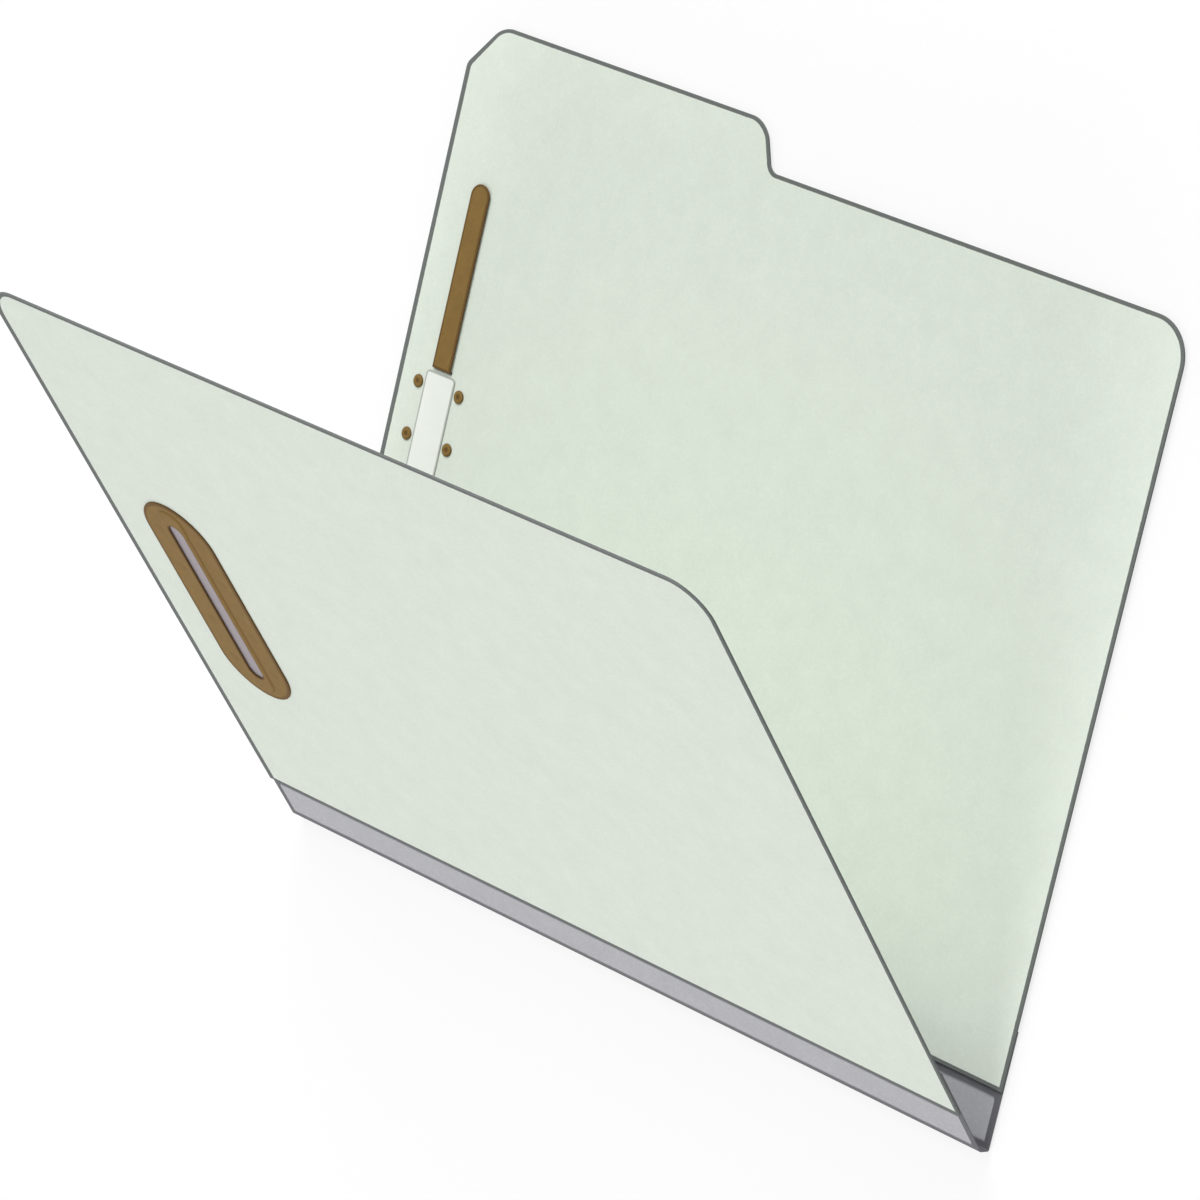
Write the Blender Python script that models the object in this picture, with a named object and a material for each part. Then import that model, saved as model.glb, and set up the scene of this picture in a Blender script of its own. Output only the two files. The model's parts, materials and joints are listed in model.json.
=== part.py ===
"""A letter-size pressboard folder with a taped gusset and two prong fasteners.

The folder lies on its back cover with the front cover part open. X runs along the
spine, Y from the spine to the tab, and Z up from the desk. The origin is under the
middle of the folder. Lengths are in metres.

Each panel of the gusset turns on a crease along X. The panels are modelled in their
own frames, with the crease at the origin and the panel along +Y. Each fastener is
modelled in a frame on its cover's outside, with +Y towards the tab and +Z outwards.
"""

import math

import bmesh
import bpy
from mathutils import Matrix, Vector

MM = 0.001

# Covers
COVER_WIDTH = 298.45 * MM
BACK_HEIGHT = 227.0 * MM
FRONT_HEIGHT = 222.25 * MM
BOARD_THICKNESS = 0.64 * MM
CORNER_RADIUS = 12.7 * MM
OPEN_ANGLE = math.radians(46.0)

# Tab on the back cover, at the end of the spine with the fasteners
TAB_HEIGHT = 14.3 * MM
TAB_TOP_LENGTH = 114.5 * MM
TAB_OUTER_RUN = 12.0 * MM
TAB_INNER_RUN = 6.0 * MM
TAB_FILLET = 9.0 * MM
TAB_FOOT_FILLET = 3.5 * MM

# Gusset tape
TAPE_THICKNESS = 0.30 * MM
FLAP_WIDTH = 19.0 * MM
PANEL_HEIGHT = 17.5 * MM
SPINE_WIDTH = 3.5 * MM
SPINE_ANGLE = math.radians(90.0)
CREASE_SETBACK = 0.35 * MM
GLUE_LINE = 0.10 * MM

# Prong fasteners
FASTENER_HEIGHT = 98.5 * MM
BACK_SHIELD_MARGIN = 4.0 * MM
FRONT_SHIELD_MARGIN = 18.0 * MM
PRONG_PITCH = 70.0 * MM
PRONG_LENGTH = 59.4 * MM
PRONG_WIDTH = 8.0 * MM
STEEL_THICKNESS = 0.35 * MM
COATING = 0.10 * MM
PRONG_LIFT = 0.80 * MM
SHIELD_WIDTH = 30.0 * MM
SHIELD_OVERHANG = 8.0 * MM
SHIELD_SHEET = 0.50 * MM
BEAD_SLOPE = 0.60 * MM
SLOT_SETBACK = 1.0 * MM
SLOT_LIP = 0.75 * MM
STRIP_WIDTH = 13.0 * MM
STRIP_THICKNESS = 0.25 * MM
STRIP_SETBACK = 1.2 * MM
STRIP_CORNER = 1.5 * MM

# Rivets that hold the shield and the strip of steel to the board
RIVET_EDGE = 5.7 * MM
RIVET_OUTER_PITCH = 58.0 * MM
RIVET_INNER_PITCH = 24.0 * MM
RIVET_SHANK = 1.1 * MM
RIVET_SINK = 1.8 * MM
RIVET_HEAD = 2.1 * MM
RIVET_HEAD_HEIGHT = 0.55 * MM

# Clearances
SEAT_GAP = 0.10 * MM
BEAD_CLEARANCE = 0.50 * MM
HOLE_CLEARANCE = 0.20 * MM
SLIT_CLEARANCE = 0.30 * MM
CUT_OVERSHOOT = 0.50 * MM

# Facets
ARC_STEPS = 8
END_STEPS = 12
RIVET_STEPS = 12

# Sizes that follow from those above
STEEL_WIDTH = PRONG_WIDTH - 2 * COATING
PRONG_THICKNESS = STEEL_THICKNESS + 2 * COATING
RIM_TOP = SEAT_GAP + SHIELD_SHEET
BEAD_FLOOR = SEAT_GAP + STEEL_THICKNESS + SEAT_GAP
BEAD_TOP = BEAD_FLOOR + SHIELD_SHEET
SHIELD_STRAIGHT = PRONG_PITCH / 2 + SHIELD_OVERHANG - SHIELD_WIDTH / 2
BACK_OUTSIDE = BEAD_TOP
BACK_TAPE = BACK_OUTSIDE - GLUE_LINE - TAPE_THICKNESS / 2
FRONT_INSIDE = TAPE_THICKNESS / 2 + GLUE_LINE

# Colours in 8-bit sRGB, as the covers, tape and metal look in daylight
PRESSBOARD = (218, 226, 214)
TAPE = (186, 186, 192)
COATED_BROWN = (134, 106, 62)
BARE_STEEL = (138, 130, 128)
PALE_STRIP = (234, 237, 231)


def clear_scene():
    for item in list(bpy.data.objects):
        bpy.data.objects.remove(item)


def linear(channel):
    """One 8-bit sRGB channel as a linear value."""
    value = channel / 255
    return value / 12.92 if value <= 0.04045 else ((value + 0.055) / 1.055) ** 2.4


def make_material(name, colour, roughness, metallic=0.0):
    material = bpy.data.materials.new(name)
    material.use_nodes = True
    shader = material.node_tree.nodes["Principled BSDF"]
    shader.inputs["Base Color"].default_value = [linear(c) for c in colour] + [1.0]
    shader.inputs["Roughness"].default_value = roughness
    shader.inputs["Metallic"].default_value = metallic
    return material


def place(item, parent, location=(0, 0, 0), rotation=(0, 0, 0)):
    bpy.context.collection.objects.link(item)
    item.parent = parent
    item.location = location
    item.rotation_euler = rotation
    return item


def make_frame(name, parent=None, location=(0, 0, 0), rotation=(0, 0, 0)):
    return place(bpy.data.objects.new(name, None), parent, location, rotation)


def make_mesh_object(name, shape, material=None):
    """Turns a bmesh into an object, with its faces pointing out."""
    bmesh.ops.recalc_face_normals(shape, faces=shape.faces)
    mesh = bpy.data.meshes.new(name)
    shape.to_mesh(mesh)
    shape.free()
    if material:
        mesh.materials.append(material)
    return bpy.data.objects.new(name, mesh)


def add_cut(item, cutter):
    """Cuts a hidden cutter out of an object."""
    cutter.hide_render = True
    cutter.display_type = "WIRE"
    cut = item.modifiers.new(cutter.name, "BOOLEAN")
    cut.operation = "DIFFERENCE"
    cut.solver = "EXACT"
    cut.object = cutter


def rounded_outline(corners):
    """The points of an outline whose corners, given as (x, y, radius), are rounded with arcs."""
    points = []
    for index, (x, y, radius) in enumerate(corners):
        corner = Vector((x, y))
        if not radius:
            points.append(corner)
            continue
        back = (Vector(corners[index - 1][:2]) - corner).normalized()
        ahead = (Vector(corners[(index + 1) % len(corners)][:2]) - corner).normalized()
        half = back.angle(ahead) / 2
        centre = corner + (back + ahead).normalized() * (radius / math.sin(half))
        reach = radius / math.tan(half)
        start = corner + back * reach - centre
        end = corner + ahead * reach - centre
        first = math.atan2(start.y, start.x)
        sweep = math.remainder(math.atan2(end.y, end.x) - first, math.tau)
        for step in range(ARC_STEPS + 1):
            angle = first + sweep * step / ARC_STEPS
            points.append(centre + radius * Vector((math.cos(angle), math.sin(angle))))
    return points


def stadium(straight, radius):
    """The points of a round-ended slot along Y, straight for twice the first length."""
    points = []
    for end, start in ((1, 0.0), (-1, math.pi)):
        for step in range(END_STEPS + 1):
            angle = start + math.pi * step / END_STEPS
            points.append(Vector((radius * math.cos(angle), end * straight + radius * math.sin(angle))))
    return points


def prism(points, low, high):
    """A plate with this XY outline, from one Z to another."""
    shape = bmesh.new()
    floor = shape.faces.new([shape.verts.new((p.x, p.y, low)) for p in points])
    raised = bmesh.ops.extrude_face_region(shape, geom=[floor])["geom"]
    bmesh.ops.translate(
        shape,
        verts=[v for v in raised if isinstance(v, bmesh.types.BMVert)],
        vec=(0, 0, high - low),
    )
    return shape


def skin(shape, loops, closed):
    """Joins loops of points with quads, and closes the run or caps its two ends."""
    loops = [[shape.verts.new(point) for point in loop] for loop in loops]
    for loop, following in zip(loops, loops[1:] + loops[:1] if closed else loops[1:]):
        for index in range(len(loop)):
            after = (index + 1) % len(loop)
            shape.faces.new((loop[index], loop[after], following[after], following[index]))
    if not closed:
        shape.faces.new(loops[0])
        shape.faces.new(loops[-1])
    return shape


def ring(levels):
    """A solid ring through (outline, Z) levels, the last joined to the first."""
    return skin(bmesh.new(), [[(p.x, p.y, z) for p in outline] for outline, z in levels], True)


def bent_strip(path, width, thickness):
    """A strip that is bent along a (Y, Z) path, with its width along X."""
    loops = []
    for index, point in enumerate(path):
        along = path[min(index + 1, len(path) - 1)] - path[max(index - 1, 0)]
        out = Vector((-along.y, along.x)).normalized() * thickness / 2
        corners = ((width / 2, out), (-width / 2, out), (-width / 2, -out), (width / 2, -out))
        loops.append([(x, *(point + offset)) for x, offset in corners])
    return skin(bmesh.new(), loops, False)


def turned(profile, steps):
    """A solid turned about Z from (radius, Z) points that start and end on the axis."""
    shape = bmesh.new()
    verts = [shape.verts.new((radius, 0, z)) for radius, z in profile]
    edges = [shape.edges.new(pair) for pair in zip(verts, verts[1:])]
    bmesh.ops.spin(
        shape,
        geom=verts + edges,
        cent=(0, 0, 0),
        axis=(0, 0, 1),
        angle=math.tau,
        steps=steps,
        use_merge=True,
    )
    bmesh.ops.remove_doubles(shape, verts=shape.verts, dist=SEAT_GAP / 100)
    return shape


def split_faces(shape, cuts):
    """Splits a plate's faces along (point, normal) planes."""
    for point, normal in cuts:
        geometry = shape.verts[:] + shape.edges[:] + shape.faces[:]
        bmesh.ops.bisect_plane(shape, geom=geometry, plane_co=point, plane_no=normal)


def front_outline():
    return rounded_outline([
        (0, CREASE_SETBACK, 0),
        (COVER_WIDTH, CREASE_SETBACK, 0),
        (COVER_WIDTH, FRONT_HEIGHT, CORNER_RADIUS),
        (0, FRONT_HEIGHT, CORNER_RADIUS),
    ])


def back_outline():
    tab_top = BACK_HEIGHT + TAB_HEIGHT
    tab_end = TAB_OUTER_RUN + TAB_TOP_LENGTH
    return rounded_outline([
        (0, CREASE_SETBACK, 0),
        (COVER_WIDTH, CREASE_SETBACK, 0),
        (COVER_WIDTH, BACK_HEIGHT, CORNER_RADIUS),
        (tab_end + TAB_INNER_RUN, BACK_HEIGHT, TAB_FOOT_FILLET),
        (tab_end, tab_top, TAB_FILLET),
        (TAB_OUTER_RUN, tab_top, TAB_FILLET),
        (0, BACK_HEIGHT, TAB_FOOT_FILLET),
    ])


def make_cover(name, outline, inside, outside, shield_margin, parent, material):
    """A board whose faces are split where the tape, the fastener and the tab begin."""
    shape = prism(outline, min(inside, outside), max(inside, outside))
    split_faces(shape, [
        ((0, FLAP_WIDTH + GLUE_LINE, 0), (0, 1, 0)),
        ((shield_margin + SHIELD_WIDTH + RIVET_EDGE, 0, 0), (1, 0, 0)),
        ((0, BACK_HEIGHT, 0), (0, 1, 0)),
    ])
    return place(make_mesh_object(name, shape, material), parent)


def make_tape(name, length, parent, location, rotation, material):
    """A flat width of tape that starts and ends just clear of its creases."""
    outline = rounded_outline([
        (0, CREASE_SETBACK, 0),
        (COVER_WIDTH, CREASE_SETBACK, 0),
        (COVER_WIDTH, length - CREASE_SETBACK, 0),
        (0, length - CREASE_SETBACK, 0),
    ])
    shape = prism(outline, -TAPE_THICKNESS / 2, TAPE_THICKNESS / 2)
    return place(make_mesh_object(name, shape, material), parent, location, rotation)


def rivet_places():
    """The rivets' centres in the fastener's frame, row by row from the tab's side."""
    across = SHIELD_WIDTH / 2 - RIVET_EDGE
    outer = RIVET_OUTER_PITCH / 2
    inner = RIVET_INNER_PITCH / 2
    return [(x, y) for y in (outer, inner, -inner, -outer) for x in (-across, across)]


def add_round_cutter(shape, place_xy, low, high):
    """Adds a tapered round cutter to a bmesh, from one (radius, Z) to another."""
    (low_radius, low_z), (high_radius, high_z) = low, high
    bmesh.ops.create_cone(
        shape,
        cap_ends=True,
        segments=RIVET_STEPS,
        radius1=low_radius,
        radius2=high_radius,
        depth=high_z - low_z,
        matrix=Matrix.Translation((*place_xy, (low_z + high_z) / 2)),
    )


def make_board_cutter(name, frame):
    """The slits for the prongs and the holes for the rivets through one cover."""
    shape = bmesh.new()
    low = -BOARD_THICKNESS - CUT_OVERSHOOT
    slit = (
        STEEL_WIDTH + 2 * SLIT_CLEARANCE,
        STEEL_THICKNESS + 2 * SLIT_CLEARANCE,
        CUT_OVERSHOOT - low,
    )
    for side in (1, -1):
        centre = (0, side * PRONG_PITCH / 2, (low + CUT_OVERSHOOT) / 2)
        matrix = Matrix.Translation(centre) @ Matrix.Diagonal((*slit, 1))
        bmesh.ops.create_cube(shape, size=1, matrix=matrix)
    radius = RIVET_SHANK + HOLE_CLEARANCE
    for centre in rivet_places():
        add_round_cutter(shape, centre, (radius, low), (radius, CUT_OVERSHOOT))
    return place(make_mesh_object(name, shape), frame)


def make_shield_cutter(name, frame):
    """The countersunk rivet holes through a shield's flat rim."""
    shape = bmesh.new()
    slope = (RIVET_SINK - RIVET_SHANK) / SHIELD_SHEET
    spare = min(CUT_OVERSHOOT, RIVET_SHANK / slope / 4)
    low = (RIVET_SHANK + SEAT_GAP - slope * spare, SEAT_GAP - spare)
    high = (RIVET_SINK + SEAT_GAP + slope * spare, RIM_TOP + spare)
    for centre in rivet_places():
        add_round_cutter(shape, centre, low, high)
    return place(make_mesh_object(name, shape), frame)


def make_shield(name, frame, material):
    """The outer plate: a flat rim round a raised bead, with a slot over the steel."""
    straight = PRONG_PITCH / 2
    foot = STEEL_WIDTH / 2 + BEAD_CLEARANCE + BEAD_SLOPE
    rim = stadium(SHIELD_STRAIGHT, SHIELD_WIDTH / 2)
    slot_radius = STEEL_WIDTH / 2 - SLOT_LIP
    slot = stadium(straight - SLOT_SETBACK - slot_radius, slot_radius)
    shape = ring([
        (rim, SEAT_GAP),
        (rim, RIM_TOP),
        (stadium(straight, foot + SHIELD_SHEET / 2), RIM_TOP),
        (stadium(straight, foot - BEAD_SLOPE + SHIELD_SHEET / 2), BEAD_TOP),
        (slot, BEAD_TOP),
        (slot, BEAD_FLOOR),
        (stadium(straight, foot - BEAD_SLOPE), BEAD_FLOOR),
        (stadium(straight, foot), SEAT_GAP),
    ])
    shield = place(make_mesh_object(name, shape, material), frame)
    add_cut(shield, make_shield_cutter(f"{name}_cutter", frame))
    return shield


def make_base_bar(name, frame, material):
    """The bare steel outside the board, bent into a leg at each end through its slit."""
    end = PRONG_PITCH / 2
    level = SEAT_GAP + STEEL_THICKNESS / 2
    bend = STEEL_THICKNESS
    leg_end = -BOARD_THICKNESS - PRONG_LIFT + PRONG_THICKNESS / 2 + SEAT_GAP
    half = [Vector((end, leg_end))]
    for step in range(ARC_STEPS + 1):
        angle = math.pi / 2 * step / ARC_STEPS
        turn = Vector((math.cos(angle), math.sin(angle))) - Vector((1, 1))
        half.append(Vector((end, level)) + bend * turn)
    path = half + [Vector((-p.x, p.y)) for p in reversed(half)]
    shape = bent_strip(path, STEEL_WIDTH, STEEL_THICKNESS)
    return place(make_mesh_object(name, shape, material), frame)


def make_prong(name, frame, side, material):
    """A coated prong that turns at its root, laid flat and away from the other one."""
    outline = [Vector((PRONG_WIDTH / 2, 0))]
    centre = PRONG_LENGTH - PRONG_WIDTH / 2
    for step in range(END_STEPS + 1):
        angle = math.pi * step / END_STEPS
        tip = Vector((math.cos(angle), math.sin(angle))) * PRONG_WIDTH / 2
        outline.append(tip + Vector((0, centre)))
    outline.append(Vector((-PRONG_WIDTH / 2, 0)))
    shape = prism(outline, -PRONG_THICKNESS / 2, PRONG_THICKNESS / 2)
    root = (0, side * PRONG_PITCH / 2, -BOARD_THICKNESS - PRONG_LIFT)
    turn = 0 if side > 0 else math.pi
    return place(make_mesh_object(name, shape, material), frame, root, (0, 0, turn))


def make_inner_strip(name, frame, material):
    """The pale strip glued inside the cover between the two prongs."""
    half_width = STRIP_WIDTH / 2
    half_length = PRONG_PITCH / 2 - STRIP_SETBACK
    outline = rounded_outline([
        (-half_width, -half_length, STRIP_CORNER),
        (half_width, -half_length, STRIP_CORNER),
        (half_width, half_length, STRIP_CORNER),
        (-half_width, half_length, STRIP_CORNER),
    ])
    top = -BOARD_THICKNESS - GLUE_LINE
    shape = prism(outline, top - STRIP_THICKNESS, top)
    return place(make_mesh_object(name, shape, material), frame)


def make_rivets(prefix, frame, material):
    """Rivets flush with the shield outside and clinched over the board inside."""
    head = -BOARD_THICKNESS - SEAT_GAP
    profile = [
        (0, RIM_TOP),
        (RIVET_SINK, RIM_TOP),
        (RIVET_SHANK, SEAT_GAP),
        (RIVET_SHANK, head),
        (RIVET_HEAD, head),
        (RIVET_HEAD * 0.93, head - RIVET_HEAD_HEIGHT * 0.55),
        (RIVET_HEAD * 0.6, head - RIVET_HEAD_HEIGHT * 0.92),
        (0, head - RIVET_HEAD_HEIGHT),
    ]
    for number, (x, y) in enumerate(rivet_places(), start=1):
        rivet = make_mesh_object(f"{prefix}_rivet_{number}", turned(profile, RIVET_STEPS), material)
        rivet.data.shade_smooth()
        rivet.data.set_sharp_from_angle(angle=math.radians(40))
        place(rivet, frame, (x, y, 0))


def make_fastener(prefix, cover, frame, materials):
    """One fastener: its shield, steel, prongs, inner strip and rivets."""
    add_cut(cover, make_board_cutter(f"{prefix}_cover_cutter", frame))
    make_shield(f"{prefix}_shield", frame, materials["shield"])
    make_base_bar(f"{prefix}_base_bar", frame, materials["steel"])
    make_prong(f"{prefix}_upper_prong", frame, 1, materials["prong"])
    make_prong(f"{prefix}_lower_prong", frame, -1, materials["prong"])
    make_inner_strip(f"{prefix}_inner_strip", frame, materials["strip"])
    make_rivets(prefix, frame, materials["rivet"])


def make_back(folder, materials):
    """The back cover, its glued flap of tape and its fastener, lying on the desk."""
    cover = make_cover(
        "back_cover",
        back_outline(),
        BACK_OUTSIDE + BOARD_THICKNESS,
        BACK_OUTSIDE,
        BACK_SHIELD_MARGIN,
        folder,
        materials["board"],
    )
    make_tape("gusset_back_flap", FLAP_WIDTH, folder, (0, 0, BACK_TAPE), (0, 0, 0), materials["tape"])
    seat = (BACK_SHIELD_MARGIN + SHIELD_WIDTH / 2, FASTENER_HEIGHT, BACK_OUTSIDE)
    frame = make_frame("back_fastener_frame", folder, seat, (0, math.pi, 0))
    make_fastener("back", cover, frame, materials)


def make_gusset(folder, materials):
    """The free panels of tape, each turned on its crease. Returns the front crease."""
    crease = Vector((0, 0, BACK_TAPE))
    panels = (
        ("gusset_back_panel", PANEL_HEIGHT, math.pi),
        ("gusset_spine_strip", SPINE_WIDTH, math.pi - SPINE_ANGLE),
        ("gusset_front_panel", PANEL_HEIGHT, OPEN_ANGLE),
    )
    for name, length, angle in panels:
        make_tape(name, length, folder, crease, (angle, 0, 0), materials["tape"])
        crease = crease + length * Vector((0, math.cos(angle), math.sin(angle)))
    return crease


def make_front(folder, crease, materials):
    """The front cover, its glued flap of tape and its fastener, raised on the gusset."""
    hinge = make_frame("front_frame", folder, crease, (OPEN_ANGLE, 0, 0))
    outside = FRONT_INSIDE + BOARD_THICKNESS
    cover = make_cover(
        "front_cover",
        front_outline(),
        FRONT_INSIDE,
        outside,
        FRONT_SHIELD_MARGIN,
        hinge,
        materials["board"],
    )
    make_tape("gusset_front_flap", FLAP_WIDTH, hinge, (0, 0, 0), (0, 0, 0), materials["tape"])
    seat = (FRONT_SHIELD_MARGIN + SHIELD_WIDTH / 2, FASTENER_HEIGHT, outside)
    frame = make_frame("front_fastener_frame", hinge, seat)
    make_fastener("front", cover, frame, materials)


def main():
    clear_scene()
    materials = {
        "board": make_material("pressboard", PRESSBOARD, 0.85),
        "tape": make_material("gusset_tape", TAPE, 0.7),
        "shield": make_material("shield_brown", COATED_BROWN, 0.4, 0.3),
        "prong": make_material("prong_brown", COATED_BROWN, 0.4, 0.3),
        "rivet": make_material("rivet_brown", COATED_BROWN, 0.45, 0.3),
        "steel": make_material("bare_steel", BARE_STEEL, 0.4, 0.9),
        "strip": make_material("pale_strip", PALE_STRIP, 0.6),
    }
    spine_edge = -PANEL_HEIGHT - TAPE_THICKNESS / 2
    middle = (spine_edge + BACK_HEIGHT + TAB_HEIGHT) / 2
    folder = make_frame("folder", None, (-COVER_WIDTH / 2, -middle, 0))
    make_back(folder, materials)
    crease = make_gusset(folder, materials)
    make_front(folder, crease, materials)


if __name__ == "__main__":
    main()
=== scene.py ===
"""Looks of a letter-size pressboard folder with a taped gusset and two prong fasteners.

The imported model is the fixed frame. Each board, tape, plate, bar, prong, strip and rivet
is modelled in the flat, then laid where the model's own piece is. Lengths are in metres.
"""

import json
import math

import bmesh
import bpy
from bpy.props import FloatProperty, FloatVectorProperty, PointerProperty
from mathutils import Matrix, Vector
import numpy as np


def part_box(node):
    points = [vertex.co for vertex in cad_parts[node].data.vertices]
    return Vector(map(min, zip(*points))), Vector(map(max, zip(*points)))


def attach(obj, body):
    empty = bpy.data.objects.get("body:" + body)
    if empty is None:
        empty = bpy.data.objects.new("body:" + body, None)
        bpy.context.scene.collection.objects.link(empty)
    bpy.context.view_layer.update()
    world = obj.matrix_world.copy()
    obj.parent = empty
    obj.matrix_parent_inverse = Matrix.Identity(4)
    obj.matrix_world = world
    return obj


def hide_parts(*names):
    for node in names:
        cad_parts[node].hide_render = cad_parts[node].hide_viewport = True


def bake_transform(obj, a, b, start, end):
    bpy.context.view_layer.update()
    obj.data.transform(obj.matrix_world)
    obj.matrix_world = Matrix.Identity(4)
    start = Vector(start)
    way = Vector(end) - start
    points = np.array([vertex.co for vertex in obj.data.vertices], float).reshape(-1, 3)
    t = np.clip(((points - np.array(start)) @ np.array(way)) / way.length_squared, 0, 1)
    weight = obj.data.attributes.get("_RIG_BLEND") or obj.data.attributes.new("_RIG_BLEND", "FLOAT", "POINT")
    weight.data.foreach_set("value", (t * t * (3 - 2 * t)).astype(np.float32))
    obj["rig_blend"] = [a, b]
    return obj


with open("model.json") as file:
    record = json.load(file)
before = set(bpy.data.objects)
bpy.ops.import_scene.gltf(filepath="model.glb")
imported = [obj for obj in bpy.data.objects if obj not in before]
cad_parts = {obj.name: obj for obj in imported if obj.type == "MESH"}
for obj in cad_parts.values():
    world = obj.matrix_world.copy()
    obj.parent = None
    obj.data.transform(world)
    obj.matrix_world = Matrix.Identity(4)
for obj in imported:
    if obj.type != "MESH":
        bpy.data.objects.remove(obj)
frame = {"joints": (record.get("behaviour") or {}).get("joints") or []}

bl_info = {
    "name": "Pressboard fastener folder",
    "version": (1, 0, 0),
    "blender": (4, 5, 0),
    "location": "View3D > Sidebar > Folder",
    "description": "Models and finishes a pressboard folder round its packed frame",
    "category": "Object",
}

MM = 0.001
SAME_PLACE = 0.002 * MM

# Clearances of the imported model
SEAT_GAP = 0.10 * MM
SLIT_CLEARANCE = 0.30 * MM

# Facets
CORNER_STEPS = 14
TAB_STEPS = 10
STRIP_STEPS = 8
CREASE_STEPS = 12
BEND_STEPS = 8
PLATE_STEPS = 96
PRONG_STEPS = 48
RIVET_STEPS = 32

# Camera, lamps and floor, set for the picture's angle and its even light
PICTURE_PIXELS = 1200
FOCAL_PIXELS = 6272
SENSOR_WIDTH = 36.0
CAMERA_PLACE = Vector((1.20595, 0.36178, 1.37149))
CAMERA_RIGHT = Vector((0.68812, 0.22188, -0.69084))
CAMERA_DOWN = Vector((0.3017, -0.95339, -0.00569))
CAMERA_AHEAD = Vector((-0.6599, -0.20451, -0.72298))
INSIDE_LAMP_PLACE = Vector((-0.3, 1.9, 1.5))
INSIDE_LAMP_TARGET = Vector((0, 0, 0.02))
OUTSIDE_LAMP_PLACE = Vector((0.05, -1.5, 1.9))
OUTSIDE_LAMP_TARGET = Vector((0, -0.04, 0.09))
LAMP_SIZE = 1.6
FLOOR_SIZE = 8.0
FLOOR_DROP = 0.1 * MM
FLOOR_WHITE = 0.8
FLOOR_FADE = (0.5, 2.0)
SEEN_RAYS = ("Is Camera Ray", "Is Glossy Ray", "Is Transmission Ray")

# Places and sizes read from the frame
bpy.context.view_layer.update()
JOINTS = {joint["name"]: joint for joint in frame["joints"]}
BACK_CREASE = Vector(JOINTS["back_crease"]["pos_m"])
SPINE_FOLD = Vector(JOINTS["front_cover_fold"]["pos_m"])
FRONT_CREASE = Vector(JOINTS["front_crease"]["pos_m"])
FRONT_RUN = FRONT_CREASE - SPINE_FOLD
OPEN_ANGLE = math.atan2(FRONT_RUN.z, FRONT_RUN.y)
BACK_LOW, BACK_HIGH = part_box("back_cover")
FLAP_LOW, FLAP_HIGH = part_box("gusset_back_flap")
SIDES = ("back", "front")


def shade(red, green, blue):
    """An 8-bit sRGB colour as linear values."""
    values = [channel / 255 for channel in (red, green, blue)]
    return [v / 12.92 if v <= 0.04045 else ((v + 0.055) / 1.055) ** 2.4 for v in values]


def length(label, text, default):
    """A length that a user would change."""
    return FloatProperty(
        name=label,
        description=text,
        default=default,
        min=0.0,
        precision=5,
        subtype="DISTANCE",
        unit="LENGTH",
    )


def colour(label, text, red, green, blue):
    """A colour that a user would change, given in 8-bit sRGB."""
    return FloatVectorProperty(
        name=label,
        description=text,
        default=shade(red, green, blue),
        min=0.0,
        max=1.0,
        size=3,
        subtype="COLOR",
    )


def power(label, text, default):
    """A lamp's power."""
    return FloatProperty(name=label, description=text, default=default, min=0.0, unit="POWER")


class FolderBoards(bpy.types.PropertyGroup):
    """The two pressboard covers."""

    width: length("Width", "Length of the covers along the spine", BACK_HIGH.x - BACK_LOW.x)
    thickness: length("Thickness", "Thickness of the board", BACK_HIGH.z - BACK_LOW.z)
    setback: length("Setback", "Gap from a crease to the board", BACK_LOW.y - BACK_CREASE.y)
    back_height: length("Back height", "Crease to the back cover's edge beside the tab", 227.0 * MM)
    front_height: length("Front height", "Crease to the front cover's edge", 222.25 * MM)
    front_gap: length("Front gap", "Crease plane to the inside of the front cover", 0.25 * MM)
    corner: length("Corner radius", "Radius of the covers' outer corners", 12.7 * MM)
    tab_height: length("Tab height", "How far the tab stands past the cover", 14.3 * MM)
    tab_top: length("Tab top", "Straight length along the top of the tab", 114.5 * MM)
    tab_outer: length("Outer run", "Run of the tab's sloped end at the cover's side", 12.0 * MM)
    tab_inner: length("Inner run", "Run of the tab's other sloped end", 6.0 * MM)
    tab_round: length("Tab rounding", "Radius of the tab's top corners", 9.0 * MM)
    tab_foot: length("Tab foot", "Radius where the tab's ends meet the cover", 3.5 * MM)
    # The dark rim and the grey cut edges are painted edge shade along the board's outline.
    rim: length("Dark rim", "Width of the darkened rim along the cut edges", 0.95 * MM)
    rim_fade: length("Rim fade", "Width over which the rim fades out", 0.5 * MM)
    back_end: length("Back end rim", "Extra rim at the back cover's end by the fastener", 0.7 * MM)
    front_end: length("Front end rim", "Extra rim at the front cover's end by the fastener", 1.4 * MM)
    ease: length("Eased edge", "Rounding of the cut edges", 0.07 * MM)
    face: colour("Pressboard", "Pale green-grey face of the board", 219, 226, 216)
    # Painted edge shade: the grey of the rim and of the cut edges.
    cut: colour("Cut edge", "Grey core that shows along the cut edges", 104, 108, 106)


class FolderTape(bpy.types.PropertyGroup):
    """The gusset tape."""

    thickness: length("Thickness", "Thickness of the tape", FLAP_HIGH.z - FLAP_LOW.z)
    flap: length("Flap", "Width of the flaps glued to the covers", 18.65 * MM)
    bend: length("Bend radius", "Radius of the folded creases", 0.5 * MM)
    crease: length("Crease width", "Width of tape that turns at each crease", 1.8 * MM)
    ease: length("Eased edge", "Rounding of the tape's edges", 0.04 * MM)
    # The fold and end lines are painted shade along the creases and cut ends.
    fold_line: length("Fold line", "Width of the dark line on each side of a crease", 2.7 * MM)
    end_line: length("End line", "Width of the dark line along a cut end", 2.0 * MM)
    line_fade: length("Line fade", "Width over which a dark line fades out", 0.6 * MM)
    face: colour("Tape", "Lavender-grey spun-bonded tape", 178, 178, 182)
    # Painted shade colour of the crease and end lines.
    line: colour("Crease line", "Darkened line along creases and cut ends", 98, 98, 102)


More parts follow.
